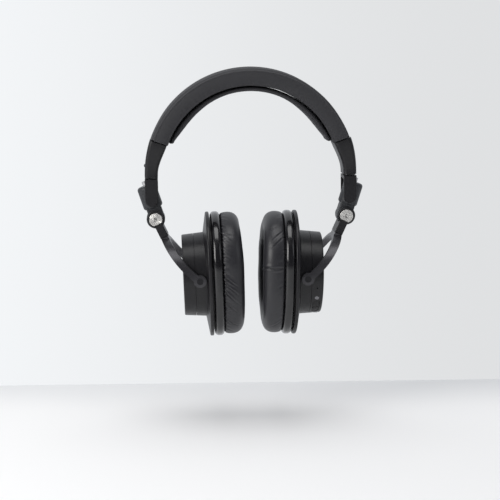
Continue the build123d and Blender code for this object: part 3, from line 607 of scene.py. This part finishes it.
class HEADPHONES_OT_headband_cover(Operator):
    """Leather sleeve of the headband, with welted seams and puckers along them"""

    bl_idname = "headphones.headband_cover"
    bl_label = "Headband cover"

    def execute(self, context):
        s = sizes()
        (inner, outer), (start, end), (_, high_y) = band_extent("headband_cover")
        rings, count = ((420, 200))
        clear, end_round = 0.1 * MM, 1.6 * MM
        section, middle = cover_section(inner + clear, outer, high_y - clear, count)
        angles, full = closed_ends(rings, start, end, end_round / outer)
        # seams at the four corners of the section
        at, length = along(section)
        edge = high_y - 1.5 * MM
        corners = {}
        for name, radius, y in (
            ("front", outer - 1.6 * MM, -edge), ("rear", outer - 1.6 * MM, edge),
            ("front_base", inner + 0.6 * MM, -edge), ("rear_base", inner + 0.6 * MM, edge),
        ):
            corners[name] = at[np.argmin(np.hypot(section[:, 0] - radius, section[:, 1] - y))]
        rng = np.random.default_rng(11)
        reach = angles * middle
        height = np.zeros((len(angles), count))
        for name, place in corners.items():
            away = (at - place + length / 2) % length - length / 2
            if name in ("front", "rear"):
                height += s.welt * bell(away, 0.75 * MM) - s.groove * (
                    bell(away - 1.7 * MM, 0.5 * MM) + bell(away + 1.7 * MM, 0.5 * MM))
            else:
                height += -1.3 * s.groove * bell(away, 0.6 * MM)
            # puckers where the thread draws the leather in
            pucker = np.zeros(len(angles))
            spot = reach[0]
            while spot < reach[-1]:
                pucker += rng.uniform(0.3, 1.0) * bell(reach - spot, rng.uniform(0.9, 1.8) * MM)
                spot += rng.uniform(3.0, 6.5) * MM
            depth = (0.10 if name in ("front", "rear") else 0.16) * MM
            fade = bell(np.abs(away) - 3.0 * MM, 2.4 * MM)
            height -= depth * pucker[:, None] * fade[None, :]
        # slow lumps of the filling
        for _ in range(14):
            a, v = rng.uniform(reach[0], reach[-1]), rng.uniform(0, length)
            away = (at - v + length / 2) % length - length / 2
            size = rng.uniform(8, 20) * MM
            lump = rng.uniform(-0.35, 0.35) * MM
            height += lump * bell(reach - a, size)[:, None] * bell(away, 9 * MM)[None]
        radius = middle + (section[:, 0] - middle) * full[:, None]
        points = band_point(angles[:, None] + 0 * at, radius, section[:, 1] * full[:, None])
        height *= full[:, None] ** 2
        points = raise_surface(points, height, False, 1)
        cover = grid_mesh("leather_cover", points, False)
        paint(cover, finish_named("headband_leather"))
        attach(cover, "headband")
        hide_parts("headband_cover")
        return {"FINISHED"}


def cushion_depths(angles):
    """Depth of the cushion at each angle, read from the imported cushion."""
    points = np.array([v.co for v in frame["nodes"]["headband_cushion"].data.vertices])
    rise = points[:, 2] + sizes().arc_radius
    radius = np.hypot(points[:, 0], rise)
    angle = np.arctan2(rise, points[:, 0])
    back = radius.max()
    bins = np.linspace(angle.min(), angle.max(), 25)
    middles, depths = [], []
    for low, high in zip(bins[:-1], bins[1:]):
        inside = (angle >= low) & (angle <= high)
        if inside.any():
            middles.append((low + high) / 2)
            depths.append(back - radius[inside].min())
    return back, np.interp(angles, middles, depths)


class HEADPHONES_OT_headband_cushion(Operator):
    """Padded cushion under the headband, full over the temples"""

    bl_idname = "headphones.headband_cushion"
    bl_label = "Headband cushion"

    def execute(self, context):
        s = sizes()
        _, (start, end), (_, high_y) = band_extent("headband_cushion")
        rings, count = 110, 56
        fine_rings, fine_count = 330, 168
        angles, full = closed_ends(rings, start, end, 2.2 * MM / s.arc_radius)
        back, depth = cushion_depths(angles)
        half = high_y - 0.4 * MM
        # section: flat back, sides that swell and tuck in, crowned face
        turn = np.linspace(0, tau, count, endpoint=False)
        side = np.sign(np.cos(turn)) * np.abs(np.cos(turn)) ** 0.42
        lift = np.sign(np.sin(turn)) * np.abs(np.sin(turn)) ** 0.8
        y = half * side * (1 - 0.10 * np.clip(lift, 0, 1) ** 2)
        share = np.clip((0.5 - 0.5 * lift) * 1.04, 0, 1)
        radius = back - depth[:, None] * full[:, None] * share[None, :]
        points = band_point(angles[:, None] + 0 * turn, radius, y[None, :] * full[:, None] ** 0.5)
        held = np.broadcast_to((share < 0.2)[None, :], radius.shape) | (full[:, None] < 1)
        points = settle(points, held, False, 4.0, 0.6 * MM)
        points = refine(points, fine_rings, fine_count, False)
        fine = np.linspace(0, 1, fine_rings)
        reach = fine * (end - start) * s.arc_radius
        rng = np.random.default_rng(5)
        across = np.linspace(0, tau, fine_count, endpoint=False)
        face = np.clip(0.5 - 0.5 * np.sin(across), 0, 1)
        height = np.zeros((fine_rings, fine_count))
        # creases across the leather, closest where the filling swells and bends
        spot = 0.0
        while spot < reach[-1]:
            share_along = spot / reach[-1]
            temple = bell(share_along - 0.17, 0.10) + bell(share_along - 0.83, 0.10)
            slant = rng.uniform(-0.5, 0.5)
            line = reach[:, None] - spot - slant * 9 * MM * np.cos(across)[None, :]
            grip = np.clip(bell(np.cos(across) - rng.choice([-0.95, 0.95]), 0.55), 0, 1)
            crease = (0.08 + 0.28 * temple) * MM * bell(line, rng.uniform(0.5, 1.0) * MM)
            height -= crease * (grip * face)[None]
            spot += rng.uniform(3.5, 8.0) * MM
        edge_seam = bell(np.abs(np.cos(across)) - 0.985, 0.02) * (np.sin(across) < 0.6)
        height -= 0.25 * MM * edge_seam[None, :]
        fade = np.clip(np.minimum(fine, 1 - fine) / 0.03, 0, 1)
        points = raise_surface(points, height * fade[:, None], False, 1)
        cushion = grid_mesh("leather_cushion", points, False)
        paint(cushion, finish_named("cushion_leather"))
        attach(cushion, "headband")
        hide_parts("headband_cushion")
        return {"FINISHED"}


# ---------------------------------------------------------------- ear pads


def cup_extent(node, sign):
    """Lowest and highest corner of a node in a cup's own axes: outward, rearward and up."""
    lean = sizes().cup_lean
    points = np.array([v.co for v in frame["nodes"][node].data.vertices])
    points[:, 0] *= sign
    away = points - np.array(TILT)
    outward = away[:, 0] * cos(lean) - away[:, 2] * sin(lean)
    up = away[:, 0] * sin(lean) + away[:, 2] * cos(lean)
    local = np.stack([outward, away[:, 1], up], -1)
    return local.min(0), local.max(0)


def cup_point(outward, rearward, up, sign):
    """Points from a cup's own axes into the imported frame."""
    lean = sizes().cup_lean
    x = TILT.x + outward * cos(lean) + up * sin(lean)
    z = TILT.z - outward * sin(lean) + up * cos(lean)
    return np.stack([sign * x, rearward + 0 * x, z], -1)


def oval_line(count, half_width, half_height):
    """Upright oval as even points, from its front's middle upward, with its outward normals."""
    straight = half_height - half_width
    length = 4 * straight + tau * half_width
    at = np.arange(count) * length / count
    points = np.zeros((count, 2))
    normals = np.zeros((count, 2))
    quarter = pi * half_width
    for n, d in enumerate(at):
        if d < straight:
            points[n], normals[n] = (-half_width, d), (-1, 0)
        elif d < straight + quarter:
            a = (d - straight) / half_width
            normals[n] = (-cos(a), sin(a))
            points[n] = (-half_width * cos(a), straight + half_width * sin(a))
        elif d < 3 * straight + quarter:
            points[n], normals[n] = (half_width, 2 * straight + quarter - d), (1, 0)
        elif d < 3 * straight + 2 * quarter:
            a = (d - 3 * straight - quarter) / half_width
            normals[n] = (cos(a), -sin(a))
            points[n] = (half_width * cos(a), -straight - half_width * sin(a))
        else:
            points[n], normals[n] = (-half_width, d - length), (-1, 0)
    return points, normals, at, length


def pad_section(count, half_ring, thickness):
    """The pad's section from its outer rear seam over the face to its opening: (out, forward)."""
    knots = np.array([
        (0.77, 0.00), (0.93, 0.10), (1.00, 0.38), (0.93, 0.64), (0.72, 0.84), (0.38, 0.965), (0.0, 1.0),
        (-0.38, 0.965), (-0.72, 0.84), (-0.93, 0.64), (-1.00, 0.38), (-0.97, 0.12), (-0.88, 0.00),
        (-0.45, 0.0), (0.0, 0.0), (0.40, 0.0),
    ])
    smooth = refine(knots[:, None, :].repeat(2, 1), 12 * count, 2, True)[:, 0]
    smooth[:, 1] = np.clip(smooth[:, 1], 0, 1)
    return even(smooth * np.array([half_ring, thickness]), count)


def pleat_marks(rng, length, pitch, thinning):
    """Places, widths, lengths, depths and slants of the pleats round one seam."""
    marks = []
    spot = 0.0
    while spot < length:
        strength = 0.55 + 0.45 * thinning(spot / length)
        marks.append((
            spot, rng.uniform(0.28, 0.50) * pitch, rng.uniform(2.6, 5.6) * MM * strength,
            rng.uniform(0.45, 1.0) * strength, rng.uniform(0.25, 0.75),
        ))
        spot += pitch * rng.uniform(0.7, 1.45)
    return marks


def pleated(marks, at, length, inward):
    """Height of pleats over the grid: at along the seam, inward from it, both in metres."""
    height = np.zeros((len(at), len(inward)))
    for spot, width, reach, depth, slant in marks:
        line = (at[:, None] - spot + slant * inward[None, :] + length / 2) % length - length / 2
        fade = np.clip(1 - inward / (2.2 * reach), 0, 1) ** 1.3
        valley = -bell(line, width) + 0.55 * bell(line - 1.3 * width, 0.9 * width)
        height += depth * valley * fade[None, :]
    return height


class HEADPHONES_OT_ear_pads(Operator):
    """Both ear pads: soft leather rings, pleated round their rear seams"""

    bl_idname = "headphones.ear_pads"
    bl_label = "Ear pads"

    def execute(self, context):
        for side, sign in SIDES.items():
            self.pad(side, sign)
        return {"FINISHED"}

    def pad(self, side, sign):
        s = sizes()
        low, high = cup_extent(f"ear_pad_{side}", sign)
        half_ring = s.pad_ring / 2 - 0.35 * MM
        half_width = (high[1] - low[1]) / 2 - s.pad_ring / 2
        half_height = (high[2] - low[2]) / 2 - s.pad_ring / 2
        thickness = high[0] - low[0] - 0.3 * MM
        rings, count = 200, 40
        route, normals, at, length = oval_line(rings, half_width, half_height)
        section = pad_section(count, half_ring, thickness)
        rng = np.random.default_rng(21 if side == "left" else 34)
        rise = route[:, 1] / half_height
        swell = 1 - 0.085 * rise**2 + 0.012 * waves(rng, rings, 3, 12)
        out = section[None, :, 0] * (1 + 0.015 * waves(rng, rings, 4, 16))[:, None]
        forward = section[None, :, 1] * swell[:, None]
        rear = route[:, None, 0] + normals[:, None, 0] * out
        up = route[:, None, 1] + normals[:, None, 1] * out
        points = cup_point(high[0] - forward, rear, up, sign)
        held = np.broadcast_to(section[None, :, 1] < 0.06 * thickness, rear.shape)
        points = settle(points, held, True, 4.0, 0.8 * MM)
        fine, finer = ((1000, 96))
        points = refine(points, fine, finer, True)
        dense = pad_section(finer, half_ring, thickness)
        inward, around = along(dense)
        at = np.arange(fine) * length / fine
        height = self.details(side, rng, at, length, inward, around)
        points = raise_surface(points, height, True, sign)
        pad = grid_mesh(f"leather_pad_{side}", points, True)
        paint(pad, finish_named("pad_leather"))
        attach(pad, f"{side}_cup")
        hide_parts(f"ear_pad_{side}")

    def details(self, side, rng, at, length, inward, around):
        """Pleats at the rear seam, long folds, the joint across the ring, and fine creases."""
        s = sizes()
        depth = s.pleat_right if side == "right" else s.pleat_left

        def ends(share):
            return abs(cos(tau * share)) * 0.35 + 0.65

        marks = pleat_marks(rng, length, s.pleat_pitch, ends)
        height = depth * pleated(marks, at, length, inward)
        # the same leather gathers a little at the opening
        tucks = pleat_marks(rng, length, 1.5 * s.pleat_pitch, ends)
        inner = np.abs(around - inward - 0.28 * around)
        height += 0.18 * MM * pleated(tucks, at, length, inner)
        # long folds on the front of each pad
        folds = (4, -2, -8, -15, -27) if side == "right" else (31, 36, -30)
        for n, place in enumerate(folds):
            line = (at[:, None] - place * MM + 0.75 * inward[None, :] + length / 2) % length - length / 2
            fade = bell(inward - 5 * MM, (5.5 + n % 3) * MM)
            fold = -bell(line, 0.55 * MM) + 0.6 * bell(line - 1.2 * MM, 0.9 * MM)
            height += (0.75 if side == "right" else 0.35) * MM * fold * fade[None, :]
        # the joint where the ring of leather is sewn together
        joint = 9 * MM if side == "left" else length / 2 - 6 * MM
        line = (at - joint + length / 2) % length - length / 2
        over = np.clip(1 - np.abs(inward - 0.30 * around) / (0.30 * around), 0, 1) ** 0.3
        wobble = 0.25 * MM * np.sin(inward / (2.1 * MM))
        across = line[:, None] - wobble[None, :]
        seam = -0.75 * MM * bell(across, 0.42 * MM) + 0.35 * MM * (
            bell(across - 1.5 * MM, 1.1 * MM) + bell(across + 1.5 * MM, 1.1 * MM))
        height += seam * over[None, :]
        # creases over the face
        for _ in range(60):
            spot, where = rng.uniform(0, length), rng.uniform(0.08, 0.5) * around
            slant = rng.uniform(-1.6, 1.6)
            line = (at[:, None] - spot + slant * (inward[None, :] - where) + length / 2) % length - length / 2
            patch = bell(inward - where, rng.uniform(2, 5) * MM)[None, :]
            height -= rng.uniform(0.05, 0.16) * MM * bell(line, rng.uniform(0.5, 1.2) * MM) * patch
        return height


class HEADPHONES_OT_ear_screens(Operator):
    """Cloth screens stretched over the drivers, inside the pads"""

    bl_idname = "headphones.ear_screens"
    bl_label = "Ear screens"

    def execute(self, context):
        for side, sign in SIDES.items():
            low, high = cup_extent(f"acoustic_screen_{side}", sign)
            half_width, half_height = (high[1] - low[1]) / 2, (high[2] - low[2]) / 2
            route, _, _, _ = oval_line(240, half_width, half_height)
            shares = np.linspace(1, 0.04, 26)
            flat = [route * share for share in shares]
            # the cloth is taut over the grille and rolls over its hem
            lift = (1 - shares**6) * 0.25 * MM
            middle = (low[0] + high[0]) / 2
            front = [
                cup_point(middle - raised + 0 * line[:, 0], line[:, 0], line[:, 1], sign)
                for line, raised in zip(flat, lift)
            ]
            points = np.array(front)
            back = points[::-1].copy()
            thickness = 0.25 * MM
            back[..., 0] += sign * thickness
            piece = grid_mesh(f"cloth_screen_{side}", np.concatenate([points[::-1], back[::-1]]), False)
            paint(piece, finish_named("screen_cloth"))
            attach(piece, f"{side}_cup")
            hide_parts(f"acoustic_screen_{side}")
            area = 4 * half_width * (half_height - half_width) + pi * half_width**2
            2 * half_width
            2 * half_height
        return {"FINISHED"}


# ---------------------------------------------------------------- marks and finishes


class HEADPHONES_OT_side_marks(Operator):
    """Plain L and R, filled in black on the hinge discs"""

    bl_idname = "headphones.side_marks"
    bl_label = "Side marks"

    def execute(self, context):
        for side, letter in (("left", "L"), ("right", "R")):
            low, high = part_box(f"hinge_disc_{side}")
            curve = bpy.data.curves.new(f"mark_{side}", "FONT")
            curve.body = letter
            curve.size = 5.2 * MM
            curve.extrude = 0.06 * MM
            curve.align_x = "CENTER"
            curve.align_y = "CENTER"
            text = bpy.data.objects.new(f"letter_{side}", curve)
            bpy.context.scene.collection.objects.link(text)
            text.rotation_euler = (pi / 2, radians(10 if side == "left" else -12), 0)
            sign = SIDES[side]
            text.location = (sign * FOLD.x, low.y + 0.02 * MM, FOLD.z)
            bpy.context.view_layer.update()
            mesh = bpy.data.meshes.new_from_object(text.evaluated_get(bpy.context.evaluated_depsgraph_get()))
            mesh.transform(text.matrix_world)
            bpy.data.objects.remove(text)
            mark = bpy.data.objects.new(f"side_mark_{side}", mesh)
            bpy.context.scene.collection.objects.link(mark)
            paint(mark, finish_named("socket_plastic"))
            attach(mark, f"{side}_yoke")
        return {"FINISHED"}


class HEADPHONES_OT_finishes(Operator):
    """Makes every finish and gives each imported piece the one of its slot"""

    bl_idname = "headphones.finishes"
    bl_label = "Finishes"

    def execute(self, context):
        made = build_finishes()
        for part in frame["record"]["subparts"]:
            node, slot = part["node"], part["material_slot"]
            if slot == "silver":
                slot = "silver_left" if node.endswith("left") else "silver_right"
            paint(frame["nodes"][node], made[slot])
        return {"FINISHED"}


# ---------------------------------------------------------------- stage


class HEADPHONES_OT_stage(Operator):
    """Pale floor and wall, soft lamps and the camera"""

    bl_idname = "headphones.stage"
    bl_label = "Stage"

    floor_drop: FloatProperty(
        name="Floor", description="Floor below the saddle", default=0.279, unit="LENGTH",
    )

    def execute(self, context):
        self.table()
        self.studio()
        self.lamps()
        self.camera()
        return {"FINISHED"}

    def table(self):
        """Table top whose far edge rounds over, tipped by as much as the camera is rolled."""
        far, bend, half = 0.12, 0.03, 2.5
        level = -self.floor_drop
        edge = [(far + bend * sin(a), level + bend * (cos(a) - 1)) for a in np.linspace(0, pi / 2, 9)]
        line = [(-2.5, level), *edge, (far + bend, level - 0.3)]
        vertices = [(x, y, z) for y, z in line for x in (-half, half)]
        faces = [(2 * n, 2 * n + 1, 2 * n + 3, 2 * n + 2) for n in range(len(line) - 1)]
        mesh = bpy.data.meshes.new("table")
        mesh.from_pydata(vertices, [], faces)
        piece = bpy.data.objects.new("table", mesh)
        piece.rotation_euler.y = CAMERA_ROLL
        bpy.context.scene.collection.objects.link(piece)
        finish = Finish("table", Roughness=0.85, Specular_IOR_Level=0.1)
        point = finish.node("ShaderNodeTexCoord", output="Object")
        depth = finish.node("ShaderNodeSeparateXYZ", {}, {0: point}, output="Y")
        c = colours()
        finish.set("Base Color", finish.tint(depth.between(0.02, far + bend), c.floor, c.backdrop))
        paint(piece, finish.material)

    def studio(self):
        """Bright wall behind, dim room in front; seen directly it is pale all round, with painted light that makes
        it brighter toward -X, the view's left, and greyer toward +X.
        """
        world = bpy.data.worlds.new("studio")
        bpy.context.scene.world = world
        world.use_nodes = True
        sky = Nodes(world.node_tree)
        way = sky.node("ShaderNodeTexCoord", output="Generated")
        across = sky.node("ShaderNodeSeparateXYZ", {}, {0: way}, output="X")
        behind = sky.node("ShaderNodeSeparateXYZ", {}, {0: way}, output="Y")
        seen = sky.node("ShaderNodeLightPath", output="Is Camera Ray")
        # painted light: the wall seen by the camera is brighter toward -X, on the key lamp's side, and greyer
        # toward +X
        wall = sky.tint(across.between(-0.25, 0.25), (0.93, 0.95, 0.97), (0.74, 0.75, 0.76))
        room = sky.tint(behind.between(-0.35, 0.75), (0.10, 0.10, 0.11), (0.72, 0.74, 0.77))
        colour = sky.node("ShaderNodeMix", {"data_type": "RGBA"}, {0: seen, 6: room, 7: wall}, output=2)
        back = world.node_tree.nodes["Background"]
        world.node_tree.links.new(colour.socket, back.inputs["Color"])

    def lamps(self):
        """Soft key from the wearer's right, a weak fill, and a lamp overhead."""
        aim = Vector((0, 0, -0.13))
        for name, place, size, power, colour in (
            ("key", (-1.1, -0.75, 0.45), 0.8, 12, (1.0, 0.99, 0.97)),
            ("fill", (1.3, -0.6, 0.5), 0.7, 1.5, (0.95, 0.97, 1.0)),
            ("top", (0.0, -0.1, 1.1), 1.0, 9, (1.0, 1.0, 1.0)),
        ):
            lamp = bpy.data.lights.new(name, "AREA")
            lamp.size = size
            lamp.energy = power
            lamp.color = colour
            holder = bpy.data.objects.new(name, lamp)
            holder.location = place
            holder.rotation_euler = (aim - Vector(place)).to_track_quat("-Z", "Y").to_euler()
            bpy.context.scene.collection.objects.link(holder)

    def camera(self):
        """Slightly above and to the wearer's right, with a slight roll."""
        lens = bpy.data.cameras.new("camera")
        lens.sensor_width = 36
        lens.lens = 102.2
        lens.clip_start = 0.05
        holder = bpy.data.objects.new("camera", lens)
        bpy.context.scene.collection.objects.link(holder)
        turn, rise, distance = radians(3.1), radians(8.5), 1.2
        aim = Vector((-1.1, 0, -133.9)) * MM
        away = Vector((-sin(turn) * cos(rise), -cos(turn) * cos(rise), sin(rise)))
        holder.location = aim + away * distance
        holder.rotation_euler = (-away).to_track_quat("-Z", "Y").to_euler()
        holder.rotation_euler.rotate_axis("Z", -CAMERA_ROLL)
        bpy.context.scene.camera = holder


# ---------------------------------------------------------------- panel and running


class HEADPHONES_PT_panel(Panel):
    """The steps that dress the headphones, in their order."""

    bl_idname = "HEADPHONES_PT_panel"
    bl_label = "Headphones"
    bl_space_type = "VIEW_3D"
    bl_region_type = "UI"
    bl_category = "Headphones"

    def draw(self, context):
        for step in STEPS:
            self.layout.operator(step.bl_idname)
        for group in (context.scene.headphone_sizes, context.scene.headphone_colours):
            box = self.layout.box()
            for name in group.bl_rna.properties.keys()[2:]:
                box.prop(group, name)


STEPS = (
    HEADPHONES_OT_finishes,
    HEADPHONES_OT_headband_cover,
    HEADPHONES_OT_headband_cushion,
    HEADPHONES_OT_ear_pads,
    HEADPHONES_OT_ear_screens,
    HEADPHONES_OT_side_marks,
    HEADPHONES_OT_stage,
)
CLASSES = (HeadphoneSizes, HeadphoneColours, *STEPS, HEADPHONES_PT_panel)


def register():
    for cls in CLASSES:
        bpy.utils.register_class(cls)
    bpy.types.Scene.headphone_sizes = PointerProperty(type=HeadphoneSizes)
    bpy.types.Scene.headphone_colours = PointerProperty(type=HeadphoneColours)


def unregister():
    del bpy.types.Scene.headphone_colours
    del bpy.types.Scene.headphone_sizes
    for cls in reversed(CLASSES):
        bpy.utils.unregister_class(cls)


def main():
    register()
    bpy.context.scene.view_settings.view_transform = "Standard"
    for step in STEPS:
        family, name = step.bl_idname.split(".")
        getattr(getattr(bpy.ops, family), name)()


if __name__ == "__main__":
    main()
